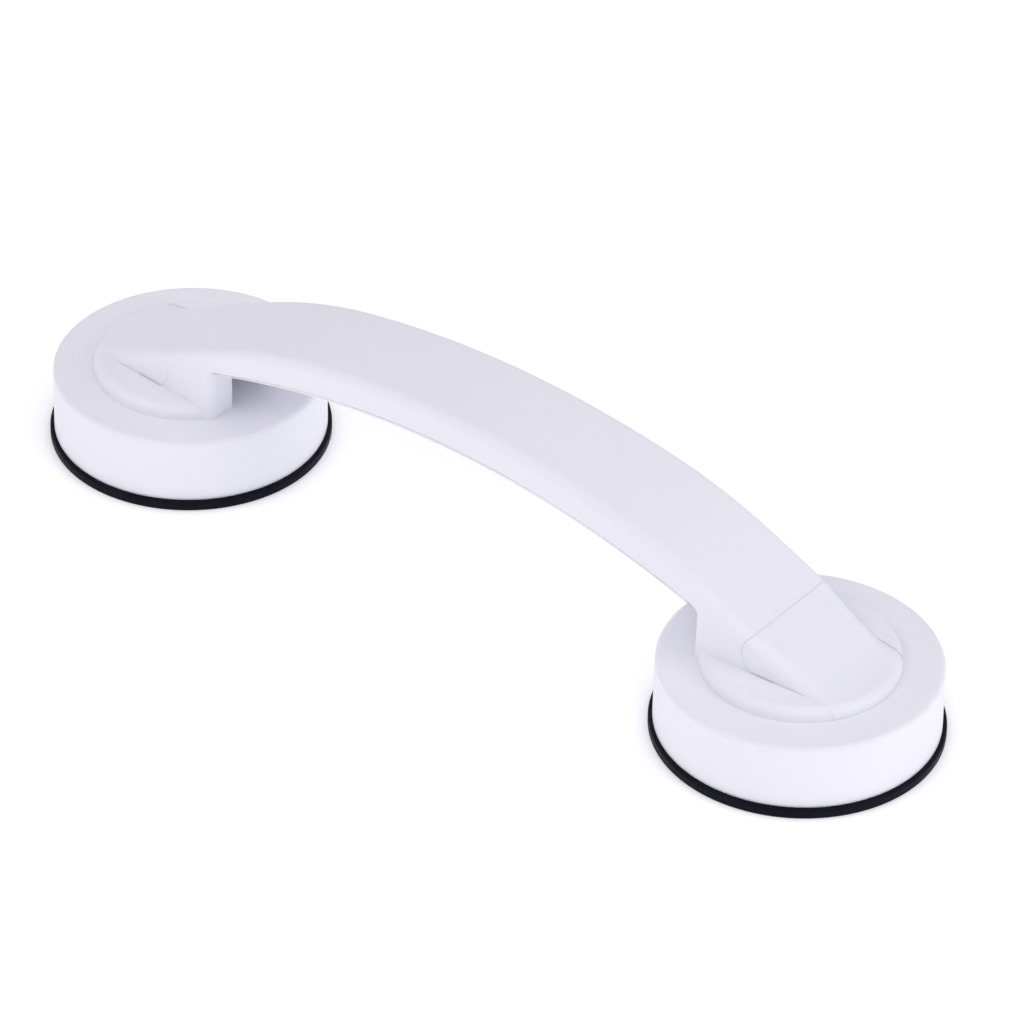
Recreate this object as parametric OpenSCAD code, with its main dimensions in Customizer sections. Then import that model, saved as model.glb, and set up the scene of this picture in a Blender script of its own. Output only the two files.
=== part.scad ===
// Suction grab bar: an arched grip on two suction bases. Each base is locked by a flip lever
// that lifts a plunger, and the plunger pulls the middle of the rubber cup off the wall.
// Origin: midway between the bases, on the mounting plane. +X runs to the right base, +Z away
// from the wall. Both ends are the same parts, turned half a turn about Z.

/* [Bases] */
// Distance between the centres of the two bases
base_spacing = 214; // [212:1:216]
// Radius of the rubber lip
lip_r = 40; // [39.5:0.1:40.5]
// Thickness of the rubber lip
lip_h = 2.9; // [2.5:0.1:3.2]
// Radius of the housing at its lower edge
housing_r = 38.8; // [38.5:0.1:39.2]
// Height of the housing's top face
housing_top = 22.1; // [21.6:0.1:22.3]
// Wall thickness of the housing
housing_wall = 2.5; // [2:0.1:3]

/* [Grip] */
// Height of the grip's top edge at mid-length
apex_z = 60.2; // [59.8:0.1:60.4]
// Radius of the arched top
top_r = 245; // [244:1:246]
// How far the top is crowned across the grip
crown_h = 0.3; // [0.2:0.1:0.5]
// Half width of the grip at the height of the foot flange
grip_half = 17.7; // [17:0.1:18]
// Radius of the split line between the grip's shell and its cover
split_r = 275; // [273:1:277]
// Height of that split line at mid-length
split_z = 51.5; // [51.2:0.1:51.8]
// How far the cover bellies below its own edges
belly_h = 3.4; // [2:0.1:4]
// Wall thickness of the grip shell
shell_wall = 2.6; // [2.2:0.1:3]
// Radius of the round flange at each foot
flange_r = 27.3; // [27:0.1:27.6]
// Height of the flange above the housing
flange_h = 3.9; // [3.5:0.1:4]

/* [Lever] */
// Height of the lever's pivot
pivot_z = 31.5; // [31.3:0.1:31.7]
// Radius of the lever's round inner end
knuckle_r = 6.9; // [6.8:0.1:7]
// How far the lever opens
lever_open = 85; // [80:1:85]
// How far the plunger travels
plunger_travel = 2.5; // [2:0.1:2.6]
// Width of the visible gap round the lever
lever_gap = 0.25; // [0.2:0.05:0.35]

/* [Hidden] */
$fn = 96;

LEFT = -1;
RIGHT = 1;
far = 200;                 // past everything
fit = 0.1;                 // between pieces of one body
slide_fit = 0.08;          // between the plunger's stem and its guide
pin_fit = 0.05;            // between the lever's bore and its pin
white = [0.93, 0.93, 0.95];
black = [0.05, 0.05, 0.08];
steel = [0.70, 0.71, 0.73];

base_x = base_spacing / 2;
top_centre_z = apex_z - top_r;
split_centre_z = split_z - split_r;
arch_half_angle = 35;
draft = 0.048;             // the sides lean in by this much per mm of height
flange_top = housing_top + flange_h;
flange_round = 2.4;        // rounding of the flange's top rim

// Foot: two walls either side of a slot, from the pillars' inner faces outwards
pillar_x = base_x - 23;
slot_half = 8.2;
tongue_taper = 0.042;      // the foot's sides close by this much per mm outwards
taper_from = base_x - 21;
hollow_half = 14;
cover_end = pillar_x - 0.3;
cover_screw_x = [-66, -30, 30, 66];
pillar_screw = [-16, 12.5];
flange_screw = [0, 22.5];

// Lever
lever_floor = housing_top + 0.3;
cap_wall = 1.5;
cap_inner_half = 14.8;
carrier_gap = 0.7;
cap_front_from = 5;        // the knuckle's front wall starts this far above the pivot
pocket_gap = 0.45;
pin_r = 1;
pin_half = 11.9;
ear = [8.4, 11.6];
ear_r = 2.2;
cheek = [3.7, 7.7];
cam_r0 = 5.35;             // pivot to cross pin, locked
cross_pin_r = 1.2;
cam_slot_half = 1.5;
cam_wall = 1.8;
cam_overrun = 3;           // degrees of slot past each end of the travel
carrier_from = 6.5;
carrier_to = 15.5;
carrier_half = 12;

// Base stack, from the wall outwards
insert_z = 4.8;
insert_h = 2;
insert_r = 14;
hub_r = 16.5;
hub_top = 8.2;
plunger_z = 8.4;
seat_h = 1.8;
seat_r = 9.6;
stem_r = 5;
lug_half = 3.5;
guide_r = 6.75;
guide_bottom = 12;
top_plate = 3;
well = [7.3, 8.3];
well_floor = 19.6;
well_plate = 2;
spring_r = 8;
spring_wire_r = 0.6;
spring_turns = 4;
cross_pin_z = pivot_z - cam_r0;

function arc_z(r, centre_z, x) = centre_z + sqrt(r * r - x * x);
function crown(y) = crown_h * (1 - pow(y / grip_half, 2));
function belly(y) = split_r - 0.8 - belly_h * (1 - pow(y / 17, 2));
function arc_points(cx, cy, r, from, to, steps) =
    [for (i = [0:steps]) let (a = from + (to - from) * i / steps) [cx + r * cos(a), cy + r * sin(a)]];
function cam_r(turn) = cam_r0 + plunger_travel * turn / lever_open;
function cam_point(turn, extra) = (cam_r(turn) + extra) * [cos(-90 - turn), sin(-90 - turn)];

// ---- frames and shared shapes ----

// Right-hand pieces are drawn once, and the left end is the same turned half a turn
module at_side(side) {
    rotate([0, 0, side > 0 ? 0 : 180]) children();
}

module at_base(side) {
    at_side(side) translate([base_x, 0, 0]) children();
}

// A shape drawn in X and Z, given a thickness in Y
module in_xz(y_from, y_to) {
    translate([0, y_to, 0]) rotate([90, 0, 0]) linear_extrude(y_to - y_from) children();
}

// Everything under the grip's crowned top, less a skin
module under_crown(skin = 0) {
    half = 20;
    inner_r = 200;
    steps = 16;
    translate([0, 0, top_centre_z]) rotate([90, 0, 0]) rotate([0, 0, 90 - arch_half_angle])
        rotate_extrude(angle = 2 * arch_half_angle, $fn = 360)
            polygon(concat(
                [[inner_r, half], [inner_r, -half]],
                [for (i = [0:steps]) let (y = half * (2 * i / steps - 1)) [top_r + crown(y) - skin, y]]
            ));
}

// The grip's leaning sides, moved in by inset
module between_sides(inset = 0) {
    low = grip_half + draft * flange_top - inset;
    high = low - draft * 80;
    rotate([90, 0, 90]) linear_extrude(2 * far, center = true)
        polygon([[-low, 0], [low, 0], [high, 80], [-high, 80]]);
}

// The foot's sides, which close a little towards the tip, moved out by gap
module foot_plan(gap = 0) {
    start = grip_half + 0.1 + gap;
    end_x = base_x + 40;
    end = start - tongue_taper * (end_x - taper_from);
    linear_extrude(far) polygon([
        [0, -start], [taper_from, -start], [end_x, -end], [end_x, end], [taper_from, start], [0, start]
    ]);
}

module flange_disc() {
    rim = flange_r - 0.4;
    translate([base_x, 0, 0]) rotate_extrude() polygon(concat(
        [[0, housing_top], [flange_r, housing_top]],
        arc_points(rim - flange_round, flange_top - flange_round, flange_round, 0, 90, 6),
        [[0, flange_top]]
    ));
}

// Side view of the space the lever takes, grown by gap
module lever_zone(gap, bottom) {
    translate([base_x, pivot_z]) circle(r = knuckle_r + gap);
    translate([base_x - gap, bottom]) square([40, 40]);
}

// A screw pointing up, its head's seat at the origin
module screw(shank_r, length, head_r, head_h) {
    drive_r = 1.3;
    difference() {
        union() {
            cylinder(r = shank_r, h = length - shank_r, $fn = 32);
            translate([0, 0, length - shank_r]) cylinder(r1 = shank_r, r2 = shank_r / 3, h = shank_r, $fn = 32);
            translate([0, 0, -head_h]) cylinder(r = head_r, h = head_h, $fn = 48);
        }
        for (turn = [0, 90]) rotate([0, 0, turn]) translate([-drive_r, -0.35, -head_h - 1])
            cube([2 * drive_r, 0.7, 1 + head_h * 0.6]);
    }
}

// ---- grip ----

cover_boss_r = 4;
grip_screw_r = 1.4;
grip_screw_length = 8;
function cover_seat_z(x) = arc_z(split_r - 0.8 - belly_h, split_centre_z, x) + 2.4;
function cover_boss_top(x) = cover_seat_z(x) + 1.6;

module above_split(lower = 0) {
    difference() {
        translate([-far, -25, 0]) cube([2 * far, 50, 80]);
        translate([0, 25, split_centre_z]) rotate([90, 0, 0]) cylinder(r = split_r - lower, h = 50, $fn = 360);
    }
}

module arch_bar() {
    intersection() {
        under_crown();
        above_split();
        between_sides();
        translate([-pillar_x - 4, -25, 0]) cube([2 * pillar_x + 8, 50, 80]);
    }
}

module arch_hollow() {
    intersection() {
        under_crown(shell_wall);
        translate([-pillar_x + 3, -hollow_half, 0]) cube([2 * pillar_x - 6, 2 * hollow_half, 80]);
    }
}

module foot_block() {
    intersection() {
        union() {
            under_crown();
            flange_disc();
        }
        union() {
            intersection() {
                between_sides();
                foot_plan();
            }
            flange_disc();
        }
        translate([pillar_x, -40, housing_top]) cube([60, 80, 40]);
    }
}

module foot_slot() {
    intersection() {
        under_crown(shell_wall);
        translate([pillar_x - 8, -slot_half, housing_top - 1]) cube([40, 2 * slot_half, 40]);
    }
}

module lever_pocket() {
    intersection() {
        in_xz(-25, 25) lever_zone(lever_gap, housing_top - 1);
        foot_plan(pocket_gap);
    }
}

// The two ears that carry the lever's pin, inside the lever
module foot_ears() {
    for (s = [-1, 1]) {
        y_from = s > 0 ? ear[0] : -ear[1];
        difference() {
            in_xz(y_from, y_from + ear[1] - ear[0]) {
                translate([base_x, pivot_z]) circle(r = ear_r);
                translate([base_x - ear_r, housing_top]) square([2 * ear_r, pivot_z - housing_top]);
            }
            translate([base_x, 20, pivot_z]) rotate([90, 0, 0]) cylinder(r = pin_r + 0.02, h = 40);
        }
        translate([base_x - 5, s > 0 ? slot_half : -cap_inner_half + 0.3, housing_top])
            cube([5 + ear_r, cap_inner_half - 0.3 - slot_half, 2]);
    }
}

module grip_shell() {
    color(white) difference() {
        union() {
            difference() {
                union() {
                    arch_bar();
                    for (side = [LEFT, RIGHT]) at_side(side) foot_block();
                }
                arch_hollow();
                for (side = [LEFT, RIGHT]) at_side(side) {
                    foot_slot();
                    lever_pocket();
                }
            }
            for (side = [LEFT, RIGHT]) at_side(side) foot_ears();
            for (x = cover_screw_x) intersection() {
                under_crown(1);
                translate([x, 0, cover_boss_top(x)]) cylinder(r = cover_boss_r, h = 30);
            }
        }
        for (x = cover_screw_x) translate([x, 0, cover_boss_top(x) - 1])
            cylinder(r = grip_screw_r + 0.02, h = grip_screw_length);
        for (side = [LEFT, RIGHT]) at_base(side) for (s = [-1, 1]) {
            translate([pillar_screw[0], s * pillar_screw[1], housing_top - 1])
                cylinder(r = foot_screw_r + 0.02, h = 13);
            translate([flange_screw[0], s * flange_screw[1], housing_top - 1])
                cylinder(r = foot_screw_r + 0.02, h = 3.6);
        }
    }
}

module cover_section() {
    half = 17.6;
    inner_half = 12.8;
    skin = 2.2;
    steps = 11;
    top = split_r - fit / 2;
    polygon(concat(
        [[top, -half]],
        [for (i = [0:steps]) let (y = half * (2 * i / steps - 1)) [belly(y), y]],
        [[top, half], [top, inner_half]],
        [for (i = [0:steps]) let (y = -inner_half * (2 * i / steps - 1)) [belly(y) + skin, y]],
        [[top, -inner_half]]
    ));
}

module grip_cover() {
    color(white) difference() {
        union() {
            intersection() {
                translate([0, 0, split_centre_z]) rotate([90, 0, 0]) rotate([0, 0, 70])
                    rotate_extrude(angle = 40, $fn = 360) cover_section();
                between_sides();
                translate([-cover_end, -25, 0]) cube([2 * cover_end, 50, 80]);
            }
            for (x = cover_screw_x) translate([x, 0, cover_seat_z(x) - 0.8])
                cylinder(r = cover_boss_r, h = cover_boss_top(x) - cover_seat_z(x) + 0.8);
        }
        for (x = cover_screw_x) translate([x, 0, 0]) {
            cylinder(r = 3, h = cover_seat_z(x));
            cylinder(r = grip_screw_r + fit, h = 80);
        }
    }
}

module grip_screws() {
    color(steel) for (x = cover_screw_x) translate([x, 0, cover_seat_z(x)])
        screw(grip_screw_r, grip_screw_length, 2.7, 1.8);
}

// ---- base ----

foot_screw_r = 1.5;
screw_head_r = 3;
rib_angles = [0, 35, 62, 118, 166, 194, 242, 298, 325];

module housing(side) {
    top_round = 1.2;
    upper_r = housing_r - 0.2;
    inner_r = housing_r - housing_wall;
    under = housing_top - top_plate;
    color(white) at_base(side) difference() {
        union() {
            rotate_extrude() polygon(concat(
                [[inner_r, lip_h], [housing_r, lip_h]],
                arc_points(upper_r - top_round, housing_top - top_round, top_round, 0, 90, 8),
                [[0, housing_top], [0, under], [inner_r, under]]
            ));
            translate([0, 0, guide_bottom]) cylinder(r = guide_r, h = housing_top - guide_bottom);
            translate([-well[0] - 2, -well[1] - 2, well_floor - well_plate])
                cube([2 * well[0] + 4, 2 * well[1] + 4, housing_top - well_floor + well_plate - 1]);
            for (angle = rib_angles) rotate([0, 0, angle]) translate([15, -0.8, 14])
                cube([inner_r - 14, 1.6, under - 13]);
        }
        translate([-well[0], -well[1], well_floor]) cube([2 * well[0], 2 * well[1], 10]);
        cylinder(r = stem_r + slide_fit, h = 40);
        for (s = [-1, 1]) for (p = [pillar_screw, flange_screw])
            translate([p[0], s * p[1], 0]) cylinder(r = foot_screw_r + 0.2, h = 40, $fn = 48);
    }
}

module suction_cup(side) {
    dome_h = 2.6;
    seal_from = 34;
    rim_round = 0.5;
    color(black) at_base(side) difference() {
        rotate_extrude() polygon(concat(
            [[0, dome_h], [10, dome_h - 0.15], [20, 1.7], [29, 0.5], [seal_from, 0]],
            arc_points(lip_r - rim_round, rim_round, rim_round, -90, 0, 6),
            arc_points(lip_r - 0.6, lip_h - 0.6, 0.6, 0, 90, 4),
            [[33.5, lip_h], [28, 3.2], [21, 4.2], [hub_r + 1, 5.4], [hub_r, 6.4], [hub_r, hub_top], [0, hub_top]]
        ));
        translate([0, 0, insert_z - 0.2]) cylinder(r = insert_r + 0.2, h = insert_h + 0.4);
        translate([0, 0, insert_z]) cylinder(r = 6.3, h = 10);
    }
}

module cup_insert(side) {
    color(white) at_base(side) {
        translate([0, 0, insert_z]) cylinder(r = insert_r, h = insert_h);
        translate([0, 0, insert_z]) cylinder(r = 6, h = plunger_z - insert_z);
        translate([0, 0, insert_z]) cylinder(r = 2.45, h = 8.2);
    }
}

module plunger(side) {
    lug_top = cross_pin_z + 2.8;
    color(white) at_base(side) difference() {
        union() {
            translate([0, 0, plunger_z]) cylinder(r = seat_r, h = seat_h);
            translate([0, 0, plunger_z]) cylinder(r = stem_r, h = 12.6);
            intersection() {
                translate([0, 0, plunger_z]) cylinder(r = stem_r, h = lug_top - plunger_z);
                translate([-10, -lug_half, 0]) cube([20, 2 * lug_half, 40]);
            }
        }
        translate([0, 0, plunger_z - 1]) cylinder(r = 2.5, h = 6.2);
        translate([0, 10, cross_pin_z]) rotate([90, 0, 0]) cylinder(r = cross_pin_r + 0.02, h = 20);
    }
}

// A steel dowel across the lever, from -half to half in Y
module dowel(radius, half) {
    chamfer = 0.3;
    translate([0, half, 0]) rotate([90, 0, 0]) rotate_extrude($fn = 48) polygon([
        [0, 0], [radius - chamfer, 0], [radius, chamfer], [radius, 2 * half - chamfer],
        [radius - chamfer, 2 * half], [0, 2 * half]
    ]);
}

module cross_pin(side) {
    color(steel) at_base(side) translate([0, 0, cross_pin_z]) dowel(cross_pin_r, cheek[1] - 0.2);
}

module lever_pin(side) {
    color(steel) at_base(side) translate([0, 0, pivot_z]) dowel(pin_r, pin_half);
}

// A coil swept as one closed tube along its helix
module return_spring(side) {
    sides = 8;
    per_turn = 24;
    low = plunger_z + seat_h + spring_wire_r + 0.06;
    high = well_floor - well_plate - spring_wire_r - 0.06;
    rings = spring_turns * per_turn;
    points = [for (i = [0:rings]) let (turn = 360 * i / per_turn)
        for (j = [0:sides - 1]) let (
            around = 360 * j / sides,
            r = spring_r + spring_wire_r * cos(around)
        ) [r * cos(turn), r * sin(turn), low + (high - low) * i / rings + spring_wire_r * sin(around)]];
    walls = [for (i = [0:rings - 1]) for (j = [0:sides - 1])
        let (k = (j + 1) % sides)
        [i * sides + j, i * sides + k, (i + 1) * sides + k, (i + 1) * sides + j]];
    ends = [[for (j = [sides - 1:-1:0]) j], [for (j = [0:sides - 1]) rings * sides + j]];
    color(steel) at_base(side) polyhedron(points, concat(walls, ends));
}

module foot_screws(side) {
    seat = housing_top - top_plate;
    color(steel) at_base(side) for (s = [-1, 1]) {
        translate([pillar_screw[0], s * pillar_screw[1], seat]) screw(foot_screw_r, 14, screw_head_r, 2);
        translate([flange_screw[0], s * flange_screw[1], seat]) screw(foot_screw_r, 5.4, screw_head_r, 2);
    }
}

// ---- lever ----

// The spiral slot that the cross pin runs in, drawn round the pivot
module cam_slot_outline() {
    steps = 24;
    first = -cam_overrun;
    last = lever_open + cam_overrun;
    polygon(concat(
        [for (i = [0:steps]) cam_point(first + (last - first) * i / steps, cam_slot_half)],
        [for (i = [0:steps]) cam_point(last - (last - first) * i / steps, -cam_slot_half)]
    ));
    for (turn = [first, last]) translate(cam_point(turn, 0)) circle(r = cam_slot_half);
}

// The cheek's edge: it follows the slot, then keeps its radius round the slot's far end
function cheek_point(turn) =
    (cam_r(min(turn, lever_open)) + cam_slot_half + cam_wall) * [cos(-90 - turn), sin(-90 - turn)];

// The cheek round that slot, drawn round the pivot
module cheek_outline() {
    steps = 24;
    first = -30;
    last = lever_open + 24;
    polygon(concat([[0, 0]], [for (i = [0:steps]) cheek_point(first + (last - first) * i / steps)]));
    circle(r = 4);
    translate([0, lever_floor + 0.7 - pivot_z]) square([carrier_to, 20]);
}

module cam_lever(side) {
    color(white) at_side(side) difference() {
        intersection() {
            union() {
                for (s = [-1, 1]) in_xz(s > 0 ? cheek[0] : -cheek[1], s > 0 ? cheek[1] : -cheek[0])
                    translate([base_x, pivot_z]) cheek_outline();
                intersection() {
                    translate([base_x + carrier_from, -carrier_half, lever_floor + 0.9])
                        cube([carrier_to - carrier_from, 2 * carrier_half, 20]);
                    under_crown(cap_wall + carrier_gap);
                }
            }
            under_crown(cap_wall + fit);
        }
        translate([base_x, 20, pivot_z]) rotate([90, 0, 0]) cylinder(r = pin_r + pin_fit, h = 40);
        in_xz(-10, 10) translate([base_x, pivot_z]) cam_slot_outline();
        for (y = [-10.8, -1.4, 8]) translate([base_x + carrier_from + 2, y, 0])
            cube([carrier_to - carrier_from - 3.5, 2.8, lever_floor + 2.6]);
    }
}

module lever_cap(side) {
    color(white) at_side(side) difference() {
        intersection() {
            union() {
                intersection() {
                    under_crown();
                    translate([base_x, 0, 0]) cylinder(r = flange_r - 0.4, h = 80);
                }
                flange_disc();
            }
            between_sides();
            foot_plan();
            in_xz(-25, 25) lever_zone(0, lever_floor);
        }
        intersection() {
            under_crown(cap_wall);
            translate([base_x, 0, 0]) cylinder(r = flange_r - 3, h = 80);
            in_xz(-cap_inner_half, cap_inner_half) {
                translate([base_x, pivot_z]) circle(r = knuckle_r - cap_wall);
                translate([base_x - 10, 10]) square([40, pivot_z + cap_front_from - 10]);
            }
        }
    }
}

grip_shell();
grip_cover();
grip_screws();
housing(LEFT);  // left_housing
suction_cup(LEFT);  // left_suction_cup
cup_insert(LEFT);  // left_cup_insert
plunger(LEFT);  // left_plunger
cross_pin(LEFT);  // left_cross_pin
return_spring(LEFT);  // left_return_spring
cam_lever(LEFT);  // left_cam_lever
lever_cap(LEFT);  // left_lever_cap
lever_pin(LEFT);  // left_lever_pin
foot_screws(LEFT);  // left_foot_screws
housing(RIGHT);  // right_housing
suction_cup(RIGHT);  // right_suction_cup
cup_insert(RIGHT);  // right_cup_insert
plunger(RIGHT);  // right_plunger
cross_pin(RIGHT);  // right_cross_pin
return_spring(RIGHT);  // right_return_spring
cam_lever(RIGHT);  // right_cam_lever
lever_cap(RIGHT);  // right_lever_cap
lever_pin(RIGHT);  // right_lever_pin
foot_screws(RIGHT);  // right_foot_screws
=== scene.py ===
"""Suction grab bar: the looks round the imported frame.

Moulded pieces are solids written as distance formulas in millimetres and meshed by dual contouring,
so that their fillets and hairline gaps are real geometry. Rubber pieces are turned profiles.
"""

import math

import bpy
import numpy as np
from mathutils import Matrix, Vector


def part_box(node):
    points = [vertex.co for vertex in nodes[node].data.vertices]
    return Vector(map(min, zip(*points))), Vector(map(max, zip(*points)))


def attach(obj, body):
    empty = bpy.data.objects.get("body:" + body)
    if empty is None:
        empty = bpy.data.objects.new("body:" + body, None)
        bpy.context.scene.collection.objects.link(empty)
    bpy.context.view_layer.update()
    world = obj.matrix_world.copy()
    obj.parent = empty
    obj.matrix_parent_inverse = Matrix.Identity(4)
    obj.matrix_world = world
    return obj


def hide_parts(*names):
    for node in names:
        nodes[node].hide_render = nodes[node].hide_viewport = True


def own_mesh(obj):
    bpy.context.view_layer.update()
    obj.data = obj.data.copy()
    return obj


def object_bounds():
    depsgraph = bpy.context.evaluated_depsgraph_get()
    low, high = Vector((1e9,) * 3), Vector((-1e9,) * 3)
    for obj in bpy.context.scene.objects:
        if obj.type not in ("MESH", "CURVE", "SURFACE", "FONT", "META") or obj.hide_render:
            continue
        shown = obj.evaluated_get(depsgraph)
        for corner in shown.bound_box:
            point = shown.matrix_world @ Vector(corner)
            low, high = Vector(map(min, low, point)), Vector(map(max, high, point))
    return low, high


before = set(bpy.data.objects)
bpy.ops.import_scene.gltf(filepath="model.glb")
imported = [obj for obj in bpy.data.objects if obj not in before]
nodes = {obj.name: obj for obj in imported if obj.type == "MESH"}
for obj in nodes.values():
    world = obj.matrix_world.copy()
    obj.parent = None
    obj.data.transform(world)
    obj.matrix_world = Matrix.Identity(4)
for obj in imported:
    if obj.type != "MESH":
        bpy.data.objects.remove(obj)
cad_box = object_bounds()

MM = 0.001
SIDES = (("left", -1), ("right", 1))


def box_mm(node):
    """A CAD node's lowest and highest corners, in millimetres."""
    low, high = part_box(node)
    return np.array(low) / MM, np.array(high) / MM


# ---------------------------------------------------------------- sizes, in millimetres

housing_low, housing_high = box_mm("right_housing")
cover_low, cover_high = box_mm("grip_cover")
cup_low, cup_high = box_mm("right_suction_cup")
frame_top = cad_box[1][2] / MM

BASE_X = (housing_low[0] + housing_high[0]) / 2
HOUSING_R = (housing_high[0] - housing_low[0]) / 2
HOUSING_TOP = housing_high[2]
LIP_H = housing_low[2]
LIP_R = (cup_high[0] - cup_low[0]) / 2
HUB_TOP = cup_high[2]
COVER_END = cover_high[0]

# Arched grip: a long arc, a tighter bend towards each end and a straight run down the tongue.
# Places are distances from the middle, and drafts and tapers are millimetres per millimetre.
CROWN_H = 0.2
APEX_Z = frame_top - CROWN_H
ARC_R = 275
BEND_FROM = 54
BEND_TO = 88
RUN_SLOPE = 0.475
BEND_CURVE = (RUN_SLOPE - BEND_FROM / ARC_R) / (BEND_TO - BEND_FROM)
GRIP_HALF = 18.0
DRAFT = 0.056
SHELL_WALL = 2.6
EDGE_R = 2.6
TIP_EDGE_R = 4.0
TIP_EDGE_FROM = BASE_X - 6
TIP_EDGE_TO = BASE_X + 7
SHELL_HOLLOW_HALF = 14

# The seam between the grip's shell and its cover, and the cover's belly under it
SPLIT_R = 275
SPLIT_TOP_Z = 51.5
SPLIT_CENTRE_Z = SPLIT_TOP_Z - SPLIT_R
SPLIT_GAP = 0.05
COVER_EDGE = 0.5
COVER_EDGE_R = 0.15
BELLY_H = 3.95
BELLY_HALF = 17
COVER_WALL = 2.2
CHANNEL_HALF = 12.8

# The cover's screws, as distances from the middle of the grip, and the bosses they sit in
SCREW_X = (30, 66)
SCREW_SEAT_R = SPLIT_R - 4.2
SCREW_SEAT_UP = 2.4
BOSS_R = 4
BOSS_BELOW = 0.8
BOSS_ABOVE = 1.6
SCREW_HEAD_R = 3
SCREW_SHANK_R = 1.5

# Feet: a pair of pillars, a slot between them and a round flange
FLANGE_R = 27.3
FLANGE_TOP = HOUSING_TOP + 3.9
FLANGE_ROUND = 2.4
FLANGE_DRAFT = 0.1
PILLAR_X = BASE_X - 23
PILLAR_WALL = 3
PILLAR_CORNER_R = 3.0
PILLAR_CORNER_Z = (40, 35)
PILLAR_CORNER_X = (PILLAR_X - 6, PILLAR_X - 2)
ARCH_CORNER_R = 1.2
LOWER_EDGE_R = 0.3
SLOT_HALF = 8.2
SLOT_BEHIND = 8
SLOT_EDGE_R = 0.5
CRESCENT_FROM = PILLAR_X + 1.7
CRESCENT_END_R = 0.6
CRESCENT_FILLET = 0.25
TAPER = 0.06
TAPER_HALF = GRIP_HALF + 0.2
TAPER_FROM = BASE_X - 21
TAPER_BLEND = 0.3
SHARP_EDGE_R = 0.06

# Lever: its gaps to the shell are narrower than real ones, and wider only where its cheeks turn
PIVOT_Z = 31.5
KNUCKLE_R = 6.9
LEVER_GAP = 0.04
POCKET_GAP = 0.08
TURNING_GAP = 0.3
CHEEK_DRAFT = 0.11
CHEEK_DRAFT_END = BASE_X + 17
CHEEK_DRAFT_FADE = 8
LEVER_FLOOR = HOUSING_TOP + 0.06
CAP_WALL = 1.4
CAP_RIM_WALL = 3
CAP_INNER_HALF = 14.8
CAP_INNER_TOP = PIVOT_Z + 5
SEAM_ROUND = 0.05
TIP_BLEND = 2.4
TIP_TOP = FLANGE_TOP - 0.7

# The ears that carry the lever's pin, and the web at their feet
EAR_R = 2.2
EAR_FROM = 8.4
EAR_TO = 11.6
EAR_MIDDLE = (EAR_FROM + EAR_TO) / 2
EAR_CLEARANCE = 0.15
EAR_ROOM_HALF = 2
PIN_R = 1.0
PIN_FIT = 0.02
WEB_X = BASE_X - 1.4
WEB_HALF_X = 3.6
WEB_Y = 11.35
WEB_HALF_Y = 3.15
WEB_TOP = HOUSING_TOP + 2

# Housing, round its own axis; the parts inside run on into its wall and roof by JOIN
HOUSING_WALL = 2.5
HOUSING_ROOF = 3
HOUSING_DRAFT = 0.2
HOUSING_EDGE_R = 1.1
HOUSING_ROOF_EDGE_R = 0.3
HOUSING_FOOT_EDGE_R = 0.2
GUIDE_R = 6.75
GUIDE_FROM = 12
PLUNGER_BORE_R = 5.08
WELL_HALF = (7.3, 8.3)
WELL_FLOOR = 19.6
WELL_WALL = 2
WELL_EDGE_R = 0.4
JOIN = 1
RIB_ANGLES = (0, 35, 62, 118, 166, 194, 242, 298, 325)
RIB_HALF = 0.8
RIB_BOTTOM = 14
RIB_FROM = 15
FOOT_SCREWS = ((-16, 12.5), (0, 22.5))
FOOT_HOLE_R = 1.7

# ---------------------------------------------------------------- distance formulas


def round_and(a, b, r):
    """What is in both solids, with its outer edge rounded to r."""
    return np.minimum(np.maximum(a, b), -r) + np.hypot(np.maximum(a + r, 0), np.maximum(b + r, 0))


def round_or(a, b, r):
    """What is in either solid, with the inner corner between them filled to r."""
    return -round_and(-a, -b, r)


def soft_min(a, b, k):
    """The smaller of two values, blended where they are within k of each other."""
    return np.minimum(a, b) - np.maximum(k - np.abs(a - b), 0) ** 2 / (4 * k)


def smooth_step(value, start, end):
    """Runs from 0 at the start to 1 at the end, flat at both."""
    t = np.clip((value - start) / (end - start), 0, 1)
    return t * t * (3 - 2 * t)


def top_d(ax, y, z):
    """Distance above the grip's slightly crowned top."""
    arc_x = np.minimum(ax, BEND_FROM)
    bend_x = np.clip(ax - BEND_FROM, 0, BEND_TO - BEND_FROM)
    run_x = np.maximum(ax - BEND_TO, 0)
    slope = arc_x / ARC_R + BEND_CURVE * bend_x
    drop = arc_x**2 / (2 * ARC_R) + bend_x * (arc_x / ARC_R + BEND_CURVE * bend_x / 2) + run_x * slope
    crown = CROWN_H * (1 - (y / GRIP_HALF) ** 2)
    return (z - APEX_Z + drop - crown) / np.sqrt(1 + slope**2)


def edge_radius(ax):
    """The grip's long edges, which get softer towards the tips."""
    return EDGE_R + (TIP_EDGE_R - EDGE_R) * smooth_step(ax, TIP_EDGE_FROM, TIP_EDGE_TO)


def sides_d(ax, ay, z):
    """Distance out from the grip's sides, which lean in and close towards the tips."""
    leaning = GRIP_HALF - DRAFT * (z - FLANGE_TOP)
    closing = TAPER_HALF - TAPER * np.maximum(ax - TAPER_FROM, 0)
    return ay - soft_min(leaning, closing, TAPER_BLEND)


def rim_d(ax, y, z):
    """Distance out from the flange's slightly tapered rim."""
    return np.hypot(ax - BASE_X, y) - FLANGE_R + FLANGE_DRAFT * (z - HOUSING_TOP)


def pivot_d(ax, z):
    """Distance from the axis of the lever's pin."""
    return np.hypot(ax - BASE_X, z - PIVOT_Z)


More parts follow.
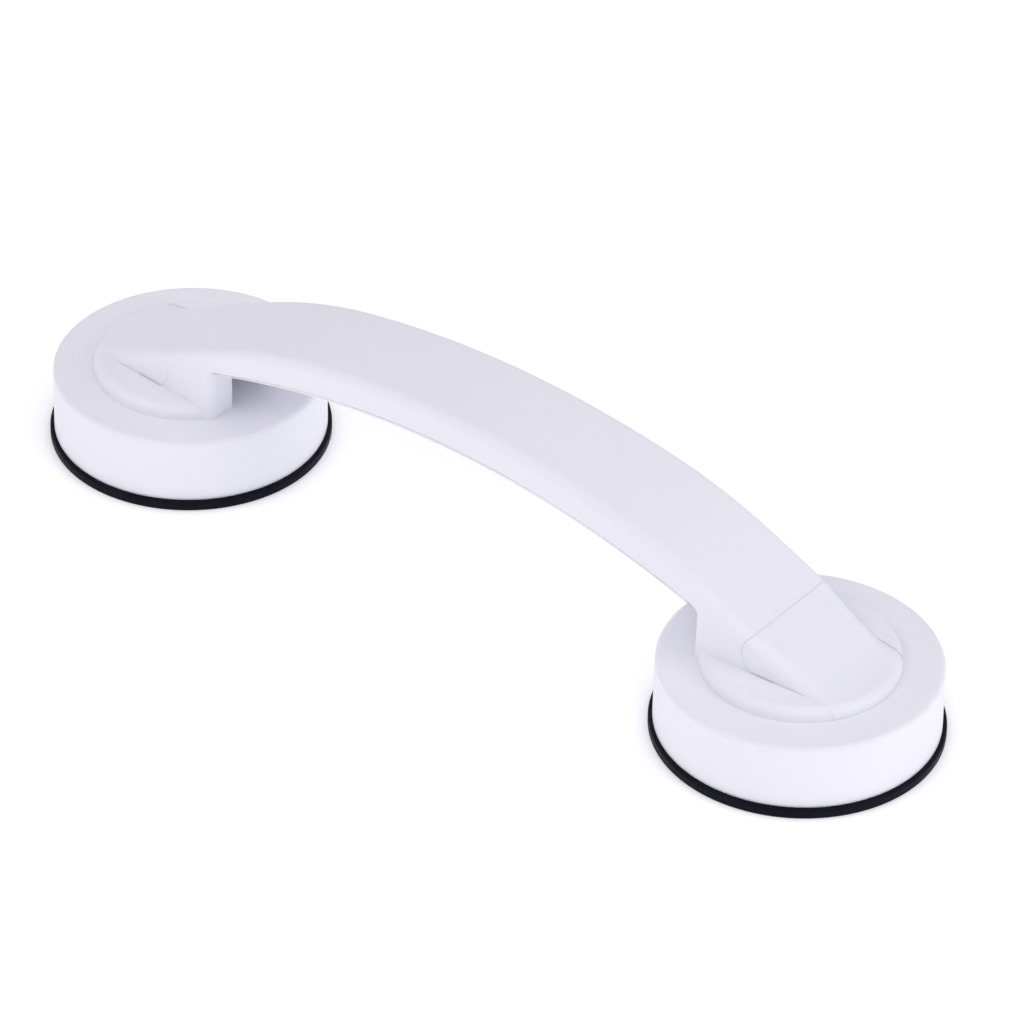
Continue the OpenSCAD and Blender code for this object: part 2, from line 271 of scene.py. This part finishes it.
def grip_shell(x, y, z):
    """The arch with both feet: pillars, crescents, the levers' pockets and the ears in them."""
    ax, ay = np.abs(x), np.abs(y)
    top = top_d(ax, y, z)
    side = sides_d(ax, ay, z)
    split = SPLIT_R - np.hypot(x, z - SPLIT_CENTRE_Z)
    upper = round_and(top, side, edge_radius(ax))
    lower = round_or(split, PILLAR_X - ax, ARCH_CORNER_R)
    at_pillar = smooth_step(z, *PILLAR_CORNER_Z) * smooth_step(ax, *PILLAR_CORNER_X)
    body = round_and(upper, lower, LOWER_EDGE_R + (PILLAR_CORNER_R - LOWER_EDGE_R) * at_pillar)
    disc = round_and(rim_d(ax, y, z), z - FLANGE_TOP, FLANGE_ROUND)
    disc = round_and(disc, CRESCENT_FROM - ax, CRESCENT_END_R)
    body = round_or(body, disc, CRESCENT_FILLET)
    slot = np.maximum(np.maximum(ay - SLOT_HALF, PILLAR_X - SLOT_BEHIND - ax), top + SHELL_WALL)
    body = round_and(body, -slot, SLOT_EDGE_R)
    zone = np.minimum(pivot_d(ax, z) - KNUCKLE_R - LEVER_GAP, BASE_X - LEVER_GAP - ax)
    pocket = np.maximum(zone, side - POCKET_GAP)
    turning = np.maximum(pivot_d(ax, z) - KNUCKLE_R - LEVER_GAP, side - TURNING_GAP)
    pocket = np.minimum(pocket, turning)
    body = round_and(body, -pocket, SEAM_ROUND)
    body = round_and(body, HOUSING_TOP - z, SHARP_EDGE_R)
    hollow = np.maximum(upper + SHELL_WALL, ay - SHELL_HOLLOW_HALF)
    hollow = np.maximum(hollow, ax - PILLAR_X + PILLAR_WALL)
    body = np.maximum(body, -hollow)
    return np.minimum(body, foot_ears(ax, ay, z))


def foot_ears(ax, ay, z):
    """The ears that carry the lever's pin, inside the lever, and the web that they stand on."""
    across = np.maximum(ay - EAR_TO, EAR_FROM - ay)
    post = np.minimum(pivot_d(ax, z) - EAR_R, np.maximum(np.abs(ax - BASE_X) - EAR_R, z - PIVOT_Z))
    post = np.maximum(post, PIN_R + PIN_FIT - pivot_d(ax, z))
    web = np.maximum(np.abs(ax - WEB_X) - WEB_HALF_X, np.abs(ay - WEB_Y) - WEB_HALF_Y)
    web = np.maximum(web, z - WEB_TOP)
    ears = np.minimum(np.maximum(across, post), web)
    return np.maximum(ears, HOUSING_TOP - z)


def grip_cover(x, y, z):
    """The bellied cover under the arch, hollow above, with a boss and a hole for each screw."""
    ax, ay = np.abs(x), np.abs(y)
    radius = np.hypot(x, z - SPLIT_CENTRE_Z)
    belly = SPLIT_R - COVER_EDGE - BELLY_H * (1 - (y / BELLY_HALF) ** 2)
    body = round_and(belly - radius, sides_d(ax, ay, z), COVER_EDGE_R)
    body = np.maximum(np.maximum(body, radius - SPLIT_R + SPLIT_GAP), ax - COVER_END)
    channel = np.maximum(ay - CHANNEL_HALF, belly + COVER_WALL - radius)
    body = np.maximum(body, -channel)
    for screw_x in SCREW_X:
        seat = SPLIT_CENTRE_Z + math.sqrt(SCREW_SEAT_R**2 - screw_x**2) + SCREW_SEAT_UP
        away = np.hypot(ax - screw_x, y)
        boss = np.maximum(np.maximum(away - BOSS_R, seat - BOSS_BELOW - z), z - seat - BOSS_ABOVE)
        body = np.minimum(body, boss)
        hole = np.minimum(np.maximum(away - SCREW_HEAD_R, z - seat), away - SCREW_SHANK_R)
        body = np.maximum(body, -hole)
    return body


def lever_cap(x, y, z):
    """The tongue past the hinge, hollow round the cam lever and the ears."""
    ax, ay = np.abs(x), np.abs(y)
    top = top_d(ax, y, z)
    rim = rim_d(ax, y, z)
    side = sides_d(ax, ay, z)
    tongue = round_and(top, side, edge_radius(ax))
    body = round_and(soft_min(tongue, z - TIP_TOP, TIP_BLEND), rim, FLANGE_ROUND)
    zone = np.minimum(pivot_d(ax, z) - KNUCKLE_R, BASE_X - ax)
    body = round_and(body, np.maximum(side, zone), SEAM_ROUND)
    hidden = np.clip((CHEEK_DRAFT_END - ax) / CHEEK_DRAFT_FADE, 0, 1)
    body = np.maximum(body, side + CHEEK_DRAFT * hidden * np.maximum(FLANGE_TOP - z, 0))
    body = round_and(body, LEVER_FLOOR - z, SEAM_ROUND)
    inside = np.minimum(pivot_d(ax, z) - KNUCKLE_R + CAP_WALL, z - CAP_INNER_TOP)
    inside = np.maximum(inside, np.maximum(tongue + CAP_WALL, rim + CAP_RIM_WALL))
    inside = np.maximum(inside, ay - CAP_INNER_HALF)
    ear_room = np.maximum(pivot_d(ax, z) - EAR_R - EAR_CLEARANCE, np.abs(ay - EAR_MIDDLE) - EAR_ROOM_HALF)
    return np.maximum(body, -np.minimum(inside, ear_room))


def well_d(x, y, z, floor, wall):
    """The box of the lever's well, grown outwards by a wall."""
    half_x, half_y = WELL_HALF
    return np.maximum(np.maximum(np.abs(x) - half_x - wall, np.abs(y) - half_y - wall), floor - z)


def housing(x, y, z):
    """A round cup turned over, drawn round its own axis: plunger guide, lever well and ribs inside."""
    away = np.hypot(x, y)
    inner = HOUSING_R - HOUSING_WALL
    under = HOUSING_TOP - HOUSING_ROOF
    wall = away - HOUSING_R + HOUSING_DRAFT * (z - LIP_H) / (HOUSING_TOP - LIP_H)
    body = round_and(wall, z - HOUSING_TOP, HOUSING_EDGE_R)
    body = round_and(body, -np.maximum(away - inner, z - under), HOUSING_ROOF_EDGE_R)
    guide = np.maximum(away - GUIDE_R, GUIDE_FROM - z)
    well_outside = well_d(x, y, z, WELL_FLOOR - WELL_WALL, WELL_WALL)
    inner_parts = np.maximum(np.minimum(guide, well_outside), z - HOUSING_TOP + JOIN)
    for angle in RIB_ANGLES:
        c, s = math.cos(math.radians(angle)), math.sin(math.radians(angle))
        along, across = x * c + y * s, np.abs(y * c - x * s)
        rib = np.maximum(np.maximum(across - RIB_HALF, RIB_BOTTOM - z), RIB_FROM - along)
        rib = np.maximum(np.maximum(rib, along - inner - JOIN), z - under - JOIN)
        inner_parts = np.minimum(inner_parts, rib)
    body = np.minimum(body, inner_parts)
    body = round_and(body, -well_d(x, y, z, WELL_FLOOR, 0), WELL_EDGE_R)
    for screw_x, screw_y in FOOT_SCREWS:
        body = np.maximum(body, FOOT_HOLE_R - np.hypot(x - screw_x, np.abs(y) - screw_y))
    body = np.maximum(body, PLUNGER_BORE_R - away)
    return round_and(body, LIP_H - z, HOUSING_FOOT_EDGE_R)


# ---------------------------------------------------------------- dual contouring

ROOT_STEPS = 6
PULL_TO_MEAN = 0.02
CELL_REACH = 0.3
CORNER_INSET = 0.35
CRISP_ANGLE = math.radians(14)


def gradient(field, points, h=0.02):
    """Unit normals of a field at points, by central differences."""
    out = np.empty_like(points)
    for axis in range(3):
        step = np.zeros(3)
        step[axis] = h
        ahead, behind = points + step, points - step
        out[:, axis] = field(*ahead.T) - field(*behind.T)
    return out / np.maximum(np.linalg.norm(out, axis=1, keepdims=True), 1e-12)


def surface_crossings(field, values, grid, axis):
    """Where the surface cuts the grid's edges along one axis: edge index, point and direction."""
    first = [slice(None)] * 3
    second = [slice(None)] * 3
    first[axis], second[axis] = slice(None, -1), slice(1, None)
    a, b = values[tuple(first)], values[tuple(second)]
    index = np.argwhere((a < 0) != (b < 0))
    fa, fb = a[tuple(index.T)], b[tuple(index.T)]
    start = np.stack([grid[k][index[:, k]] for k in range(3)], axis=1)
    length = np.diff(grid[axis])[index[:, axis]]
    low, high = np.zeros(len(index)), np.ones(len(index))
    going_out = fa < 0
    for _ in range(ROOT_STEPS):
        share = np.clip(fa / (fa - fb), 0.05, 0.95)
        t = low + (high - low) * share
        point = start.copy()
        point[:, axis] += t * length
        f = field(*point.T)
        same = (f < 0) == (fa < 0)
        low, fa = np.where(same, t, low), np.where(same, f, fa)
        high, fb = np.where(same, high, t), np.where(same, fb, f)
    point = start.copy()
    point[:, axis] += (low + (high - low) * fa / (fa - fb + 1e-30)) * length
    return index, point, going_out


def contour(field, grid):
    """Vertices in millimetres and quads of a field's surface, with sharp features kept."""
    sizes = [len(line) for line in grid]
    values = field(grid[0][:, None, None], grid[1][None, :, None], grid[2][None, None, :])
    values = np.broadcast_to(values, sizes)
    cells = [size - 1 for size in sizes]
    cell_ids, points, quads = [], [], []
    for axis in range(3):
        index, point, going_out = surface_crossings(field, values, grid, axis)
        u, v = (axis + 1) % 3, (axis + 2) % 3
        ring = []
        for du, dv in ((0, 0), (-1, 0), (-1, -1), (0, -1)):
            cell = index.copy()
            cell[:, u] += du
            cell[:, v] += dv
            ring.append((cell[:, 0] * cells[1] + cell[:, 1]) * cells[2] + cell[:, 2])
        ring = np.stack(ring, axis=1)
        ring[~going_out] = ring[~going_out][:, ::-1]
        quads.append(ring)
        cell_ids.append(ring.reshape(-1))
        points.append(np.repeat(point, 4, axis=0))
    quads = np.concatenate(quads)
    cell_ids = np.concatenate(cell_ids)
    points = np.concatenate(points)
    normals = gradient(field, points)
    used, where = np.unique(cell_ids, return_inverse=True)
    count = np.bincount(where).astype(float)
    mean = np.stack([np.bincount(where, points[:, k]) for k in range(3)], axis=1) / count[:, None]
    offset = np.einsum("ij,ij->i", normals, points - mean[where])
    matrix = np.zeros((len(used), 3, 3))
    right = np.zeros((len(used), 3))
    for i in range(3):
        right[:, i] = np.bincount(where, normals[:, i] * offset)
        for j in range(3):
            matrix[:, i, j] = np.bincount(where, normals[:, i] * normals[:, j])
        matrix[:, i, i] += PULL_TO_MEAN
    shift = np.linalg.solve(matrix, right[:, :, None])[:, :, 0]
    cell = np.unravel_index(used, cells)
    corner = np.stack([grid[k][cell[k]] for k in range(3)], axis=1)
    size = np.stack([np.diff(grid[k])[cell[k]] for k in range(3)], axis=1)
    reach = CELL_REACH * size
    vertices = np.clip(mean + shift, corner - reach, corner + size + reach)
    return vertices, np.searchsorted(used, quads)


def corner_normals(field, vertices, quads):
    """A normal for each face corner: the surface's own, or the face's side of it at a crisp edge."""
    at_vertex = gradient(field, vertices)[quads]
    centre = vertices[quads].mean(axis=1, keepdims=True)
    inward = vertices[quads] + CORNER_INSET * (centre - vertices[quads])
    at_corner = gradient(field, inward.reshape(-1, 3)).reshape(at_vertex.shape)
    smooth = np.einsum("ijk,ijk->ij", at_vertex, at_corner) > math.cos(CRISP_ANGLE)
    return np.where(smooth[:, :, None], at_vertex, at_corner).reshape(-1, 3)


def new_mesh(name, vertices, quads, normals=None):
    """A smooth quad mesh from vertices in millimetres."""
    mesh = bpy.data.meshes.new(name)
    mesh.vertices.add(len(vertices))
    mesh.vertices.foreach_set("co", (vertices * MM).astype(np.float32).ravel())
    mesh.loops.add(quads.size)
    mesh.loops.foreach_set("vertex_index", quads.astype(np.int32).ravel())
    mesh.polygons.add(len(quads))
    mesh.polygons.foreach_set("loop_start", np.arange(0, quads.size, 4, dtype=np.int32))
    mesh.update(calc_edges=True)
    mesh.validate()
    if normals is not None:
        mesh.normals_split_custom_set(normals.astype(np.float32))
    return mesh


def grid_line(*stops):
    """Grid planes along an axis, from pairs of a place and the step from there to the next place."""
    line = []
    for (start, step), (end, _) in zip(stops, stops[1:]):
        line.append(np.linspace(start, end, round((end - start) / step), endpoint=False))
    return np.concatenate([*line, [stops[-1][0]]])


def even_grid(low, high, step):
    """The grid of a box, with the same step everywhere."""
    return [grid_line((low[k], step), (high[k], step)) for k in range(3)]


def moulded(name, field, grid):
    """The mesh of a field's surface on a grid."""
    vertices, quads = contour(field, grid)
    return new_mesh(name, vertices, quads, corner_normals(field, vertices, quads))


# ---------------------------------------------------------------- materials


class Shader:
    """A node material, with short names for the nodes used here."""

    def __init__(self, name, **values):
        self.material = bpy.data.materials.new(name)
        self.material.use_nodes = True
        self.nodes = self.material.node_tree.nodes
        self.links = self.material.node_tree.links
        self.bsdf = self.nodes["Principled BSDF"]
        self.place = self.nodes.new("ShaderNodeTexCoord").outputs["Object"]
        for socket, value in values.items():
            self.bsdf.inputs[socket.replace("_", " ")].default_value = value

    def noise(self, scale, detail, roughness=0.5, stretch=None):
        """Noise fixed to the piece, finer as the scale grows."""
        node = self.nodes.new("ShaderNodeTexNoise")
        node.inputs["Scale"].default_value = scale
        node.inputs["Detail"].default_value = detail
        node.inputs["Roughness"].default_value = roughness
        place = self.place
        if stretch:
            mapping = self.nodes.new("ShaderNodeMapping")
            mapping.inputs["Scale"].default_value = stretch
            self.links.new(self.place, mapping.inputs["Vector"])
            place = mapping.outputs["Vector"]
        self.links.new(place, node.inputs["Vector"])
        return node.outputs["Fac"]

    def spread(self, source, low, high, start=0.3, end=0.7):
        """Maps the usual range of a noise to a range of values."""
        node = self.nodes.new("ShaderNodeMapRange")
        for socket, value in (("From Min", start), ("From Max", end), ("To Min", low), ("To Max", high)):
            node.inputs[socket].default_value = value
        self.links.new(source, node.inputs["Value"])
        return node.outputs["Result"]

    def colour_between(self, source, first, second):
        node = self.nodes.new("ShaderNodeMix")
        node.data_type = "RGBA"
        node.inputs["A"].default_value = (*first, 1)
        node.inputs["B"].default_value = (*second, 1)
        self.links.new(source, node.inputs["Factor"])
        self.links.new(node.outputs["Result"], self.bsdf.inputs["Base Color"])

    def bump(self, source, strength, distance, under=None):
        node = self.nodes.new("ShaderNodeBump")
        node.inputs["Strength"].default_value = strength
        node.inputs["Distance"].default_value = distance
        self.links.new(source, node.inputs["Height"])
        if under is not None:
            self.links.new(under, node.inputs["Normal"])
        return node.outputs["Normal"]

    def use(self, source, socket):
        self.links.new(source, self.bsdf.inputs[socket])


def satin_white(name, first, second, roughness):
    """Moulded plastic with a fine spark-eroded skin and a faint waviness from the mould."""
    s = Shader(name, Subsurface_Weight=0.12, Subsurface_Scale=0.002, Specular_IOR_Level=0.45)
    s.bsdf.inputs["Subsurface Radius"].default_value = (1.0, 0.85, 0.8)
    clouds = s.noise(scale=22, detail=3)
    s.colour_between(s.spread(clouds, low=0, high=1), first, second)
    smudges = s.noise(scale=900, detail=2)
    s.use(s.spread(smudges, low=roughness - 0.05, high=roughness + 0.07), "Roughness")
    waves = s.bump(s.noise(scale=45, detail=1), strength=0.05, distance=0.0006)
    grain = s.noise(scale=2600, detail=3, roughness=0.6)
    s.use(s.bump(grain, strength=0.16, distance=0.00012, under=waves), "Normal")
    return s.material


def black_rubber():
    """Pressed rubber with a slight bloom."""
    s = Shader("black_rubber", Specular_IOR_Level=0.08)
    bloom = s.spread(s.noise(scale=160, detail=3), low=0, high=1)
    s.colour_between(bloom, (0.003, 0.003, 0.008), (0.006, 0.006, 0.013))
    s.use(s.spread(s.noise(scale=700, detail=3), low=0.42, high=0.58), "Roughness")
    grain = s.noise(scale=3200, detail=2, roughness=0.6)
    s.use(s.bump(grain, strength=0.2, distance=0.0001), "Normal")
    return s.material


def bright_steel(name, colour, stretch):
    """Drawn or plated steel with fine lines along its length."""
    s = Shader(name, Metallic=1.0, Specular_IOR_Level=0.5)
    lines = s.noise(scale=400, detail=3, roughness=0.6, stretch=stretch)
    s.colour_between(s.spread(lines, low=0, high=1), [c * 0.86 for c in colour], colour)
    s.use(s.spread(lines, low=0.22, high=0.4), "Roughness")
    s.use(s.bump(lines, strength=0.15, distance=0.00008), "Normal")
    return s.material


SHELL = satin_white("shell_white", (0.872, 0.870, 0.925), (0.888, 0.885, 0.938), 0.42)
INNER = satin_white("inner_white", (0.70, 0.70, 0.72), (0.74, 0.74, 0.76), 0.55)
RUBBER = black_rubber()
STEEL = bright_steel("plated_steel", (0.72, 0.73, 0.76), (1, 1, 0.1))
SPRING = bright_steel("spring_steel", (0.55, 0.56, 0.60), (1, 1, 0.3))


def add_piece(name, mesh, material, body, slot, *replaced):
    """Links a finished mesh as a piece that rides on a body and stands for CAD nodes."""
    piece = bpy.data.objects.new(name, mesh)
    bpy.context.scene.collection.objects.link(piece)
    mesh.materials.clear()
    mesh.materials.append(material)
    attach(piece, body)
    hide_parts(*replaced)
    return piece


def turned_copy(mesh, name, side, about_x=0.0):
    """The mesh for one end: as it is at the right end, and turned half a turn for the left."""
    copy = mesh.copy()
    copy.name = name
    turn = Matrix.Rotation(math.pi if side < 0 else 0, 4, "Z")
    copy.transform(turn @ Matrix.Translation((about_x * MM, 0, 0)))
    return copy


# ---------------------------------------------------------------- moulded pieces

# Grid steps: fine at the feet and at thin edges, coarse along the plain middle
MARGIN = 1.3
COARSE_STEP = 1.1
FOOT_STEP = 0.45
GRIP_STEP = 0.55
COVER_EDGE_STEP = 0.35
COVER_MIDDLE_STEP = 0.8
COVER_Z_STEP = 0.3
COVER_EDGE_FROM = 14
CAP_STEP = 0.4
HOUSING_STEP = 0.8

grip_low, grip_high = box_mm("grip_shell")
grip_end = grip_high[0] + MARGIN
foot_from = PILLAR_X - SLOT_BEHIND
grip_grid = even_grid(grip_low - MARGIN, grip_high + MARGIN, GRIP_STEP)
grip_grid[0] = grid_line(
    (-grip_end, FOOT_STEP), (-foot_from, COARSE_STEP), (foot_from, FOOT_STEP), (grip_end, FOOT_STEP)
)
add_piece(
    "grip_shell_moulding", moulded("grip_shell_mesh", grip_shell, grip_grid),
    SHELL, "grip", "shell_plastic", "grip_shell",
)

cover_side = cover_high[1] + MARGIN
cover_grid = even_grid(cover_low - MARGIN, cover_high + MARGIN, COARSE_STEP)
cover_grid[1] = grid_line(
    (-cover_side, COVER_EDGE_STEP), (-COVER_EDGE_FROM, COVER_MIDDLE_STEP),
    (COVER_EDGE_FROM, COVER_EDGE_STEP), (cover_side, COVER_EDGE_STEP),
)
cover_grid[2] = grid_line((cover_low[2] - MARGIN, COVER_Z_STEP), (cover_high[2] + MARGIN, COVER_Z_STEP))
add_piece(
    "grip_cover_moulding", moulded("grip_cover_mesh", grip_cover, cover_grid),
    SHELL, "grip", "shell_plastic", "grip_cover",
)

cap_low, cap_high = box_mm("right_lever_cap")
cap_grid = even_grid(cap_low - MARGIN, cap_high + MARGIN, CAP_STEP)
cap_mesh = moulded("lever_cap_mesh", lever_cap, cap_grid)
middle = np.array([BASE_X, 0, 0])
housing_grid = even_grid(housing_low - middle - MARGIN, housing_high - middle + MARGIN, HOUSING_STEP)
housing_mesh = moulded("housing_mesh", housing, housing_grid)
for end, side in SIDES:
    add_piece(
        f"{end}_lever_cap_moulding", turned_copy(cap_mesh, f"{end}_lever_cap_mesh", side),
        SHELL, f"{end}_lever_group", "shell_plastic", f"{end}_lever_cap",
    )
    add_piece(
        f"{end}_housing_moulding", turned_copy(housing_mesh, f"{end}_housing_mesh", side, BASE_X),
        SHELL, "grip", "shell_plastic", f"{end}_housing",
    )

# ---------------------------------------------------------------- rubber cups


def arc(centre_r, centre_z, r, start, end, steps=8):
    """Points on an arc of a profile, angles in degrees."""
    angles = [math.radians(start + (end - start) * i / steps) for i in range(steps + 1)]
    return [(centre_r + r * math.cos(a), centre_z + r * math.sin(a)) for a in angles]


def turned(name, profile, segments=240):
    """A closed ring or solid of revolution from a closed profile of (radius, height)."""
    profile = np.array(profile, float)
    count = len(profile)
    angles = 2 * np.pi * np.arange(segments) / segments
    vertices = np.stack(
        [
            profile[None, :, 0] * np.cos(angles)[:, None],
            profile[None, :, 0] * np.sin(angles)[:, None],
            np.broadcast_to(profile[None, :, 1], (segments, count)),
        ],
        axis=2,
    ).reshape(-1, 3)
    a = np.arange(segments)[:, None] * count
    b = (np.arange(segments)[:, None] + 1) % segments * count
    i, j = np.arange(count)[None, :], (np.arange(count)[None, :] + 1) % count
    quads = np.stack([a + i, b + i, b + j, a + j], axis=2).reshape(-1, 4)
    mesh = new_mesh(name, vertices, quads)
    mesh.set_sharp_from_angle(angle=math.radians(40))
    return mesh


# The cup's parts in millimetres: a seal with grooves outside, and a hub with a cavity for its disc
SEAL_FROM = 33.5
SEAL_GROOVES = (35.2, 36.7, 38.2)
GROOVE_HALF = 0.25
GROOVE_DEPTH = 0.22
LIP_EDGE_R = 0.7
LIP_FOOT_R = 0.4
HUB_R = 16.5
HUB_EDGE_R = 0.6
HUB_ROOT_R = 1.2
HUB_ROOT_Z = 6.1
CAVITY_FLOOR = 4.55
CAVITY_TOP = 7.05
CAVITY_R = 13.8
STEM_HOLE_R = 6.3


def lip_profile():
    """The lip that stays on the wall: a flat seal with shallow grooves, and a rounded outer edge."""
    points = [(SEAL_FROM, 0.25), (SEAL_FROM + 0.5, 0.0)]
    for groove in SEAL_GROOVES:
        points += [(groove - GROOVE_HALF, 0.0), (groove, GROOVE_DEPTH), (groove + GROOVE_HALF, 0.0)]
    points += arc(LIP_R - LIP_FOOT_R, LIP_FOOT_R, LIP_FOOT_R, -90, 0)
    points += arc(LIP_R - LIP_EDGE_R, LIP_H - LIP_EDGE_R, LIP_EDGE_R, 0, 90)
    points += [(LIP_R - 1.8, LIP_H), (SEAL_FROM, LIP_H)]
    return points


def membrane_profile():
    """The domed middle, with the hub that holds the moulded-in disc."""
    edge, axis = SEAL_FROM - 0.02, 0.05
    under = [(edge, 0.25), (29, 0.55), (24, 1.15), (20, 1.7), (15, 2.2), (10, 2.45), (5, 2.57)]
    under += [(axis, 2.6)]
    cavity_mid, cavity_round = (CAVITY_FLOOR + CAVITY_TOP) / 2, (CAVITY_TOP - CAVITY_FLOOR) / 2
    cavity = [(axis, CAVITY_FLOOR), (CAVITY_R, CAVITY_FLOOR)]
    cavity += arc(CAVITY_R, cavity_mid, cavity_round, -90, 90, 10)
    cavity += [(STEM_HOLE_R, CAVITY_TOP), (STEM_HOLE_R, HUB_TOP)]
    outer = arc(HUB_R - HUB_EDGE_R, HUB_TOP - HUB_EDGE_R, HUB_EDGE_R, 90, 0)
    outer += arc(HUB_R + HUB_ROOT_R, HUB_ROOT_Z, HUB_ROOT_R, 180, 250)
    outer += [(21, 4.2), (28, 3.2), (edge, LIP_H)]
    return (under + cavity + outer)[::-1]


lip_mesh = turned("cup_lip_mesh", lip_profile())
membrane_mesh = turned("cup_membrane_mesh", membrane_profile())
for end, side in SIDES:
    add_piece(
        f"{end}_cup_lip", turned_copy(lip_mesh, f"{end}_cup_lip_mesh", side, BASE_X),
        RUBBER, "grip", "cup_rubber", f"{end}_suction_cup",
    )
    membrane = add_piece(
        f"{end}_cup_membrane", turned_copy(membrane_mesh, f"{end}_cup_membrane_mesh", side, BASE_X),
        RUBBER, "grip", "cup_rubber", f"{end}_suction_cup",
    )
    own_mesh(membrane)

# ---------------------------------------------------------------- CAD nodes that show as they are

FINISHES = {
    "foot_screws": STEEL, "lever_pin": STEEL, "cross_pin": STEEL, "return_spring": SPRING,
    "cam_lever": INNER, "plunger": INNER, "cup_insert": INNER,
}


def finish_node(name, material):
    """Gives a carried-over CAD node its material."""
    mesh = nodes[name].data
    mesh.materials.clear()
    mesh.materials.append(material)


finish_node("grip_screws", STEEL)
for end, _ in SIDES:
    for part, material in FINISHES.items():
        finish_node(f"{end}_{part}", material)

# ---------------------------------------------------------------- camera, floor and light

# A long lens from the front right and above, placed in metres and turned in degrees
EYE = (0.85335, -1.08014, 1.03610)
AZIMUTH, ELEVATION, ROLL = (math.radians(a) for a in (38.01, 36.42, 0.90))

camera_data = bpy.data.cameras.new("camera")
camera_data.lens = 219.54
camera_data.sensor_width = 36
camera_data.clip_end = 20
camera = bpy.data.objects.new("camera", camera_data)
bpy.context.scene.collection.objects.link(camera)
bpy.context.scene.camera = camera

back = Vector((
    math.sin(AZIMUTH) * math.cos(ELEVATION),
    -math.cos(AZIMUTH) * math.cos(ELEVATION),
    math.sin(ELEVATION),
))
right = Vector((math.cos(AZIMUTH), math.sin(AZIMUTH), 0))
up = back.cross(right)
turned_right = right * math.cos(ROLL) + up * math.sin(ROLL)
turned_up = up * math.cos(ROLL) - right * math.sin(ROLL)
rotation = Matrix((turned_right, turned_up, back)).transposed().to_4x4()
camera.matrix_world = Matrix.Translation(Vector(EYE)) @ rotation

FLOOR_HALF = 6.0
FLOOR_DROP = 0.05 * MM
FLOOR_GLOW = 0.28
floor_mesh = bpy.data.meshes.new("floor")
floor_corners = [(-1, -1), (1, -1), (1, 1), (-1, 1)]
floor_points = [(x * FLOOR_HALF, y * FLOOR_HALF, 0) for x, y in floor_corners]
floor_mesh.from_pydata(floor_points, [], [(0, 1, 2, 3)])
floor = bpy.data.objects.new("floor", floor_mesh)
bpy.context.scene.collection.objects.link(floor)
floor.location.z = -FLOOR_DROP
floor_shader = Shader("floor", Base_Color=(0.93, 0.93, 0.94, 1), Roughness=0.9, Specular_IOR_Level=0.1)
# The floor is a light table: its own glow keeps it white while the part is softly lit
floor_shader.bsdf.inputs["Emission Color"].default_value = (1, 1, 1, 1)
floor_shader.bsdf.inputs["Emission Strength"].default_value = FLOOR_GLOW
floor_mesh.materials.append(floor_shader.material)

world = bpy.data.worlds.new("studio")
bpy.context.scene.world = world
world.use_nodes = True
world.node_tree.nodes["Background"].inputs["Color"].default_value = (0.89, 0.885, 1.0, 1)
world.node_tree.nodes["Background"].inputs["Strength"].default_value = 0.60


TARGET = (0, 0, 0.03)
COOL = (0.98, 0.98, 1.0)


def softbox(name, place, size, power, colour):
    """A rectangular area light that faces the part; metres and watts."""
    light = bpy.data.lights.new(name, "AREA")
    light.shape = "RECTANGLE"
    light.size, light.size_y = size
    light.energy = power
    light.color = colour
    lamp = bpy.data.objects.new(name, light)
    bpy.context.scene.collection.objects.link(lamp)
    lamp.location = place
    direction = Vector(TARGET) - Vector(place)
    lamp.rotation_euler = direction.to_track_quat("-Z", "Y").to_euler()


softbox("key", (-1.1, -1.7, 2.1), (1.4, 1.0), 12.4, (0.98, 0.94, 0.80))
softbox("front_fill", (1.2, -1.5, 2.0), (1.4, 1.0), 4.6, COOL)
softbox("low_fill", (-0.6, -2.5, 0.9), (1.4, 0.8), 1.8, COOL)
softbox("left_fill", (-2.2, -1.2, 0.8), (1.4, 1.0), 1.4, COOL)
softbox("right_side", (2.3, 0.5, 1.0), (1.4, 1.0), 12.8, (0.99, 0.99, 0.95))
softbox("top", (0.7, 0.4, 2.4), (2.2, 2.2), 8.2, (0.99, 0.99, 0.89))

bpy.context.scene.view_settings.view_transform = "Standard"
bpy.context.scene.view_settings.look = "None"
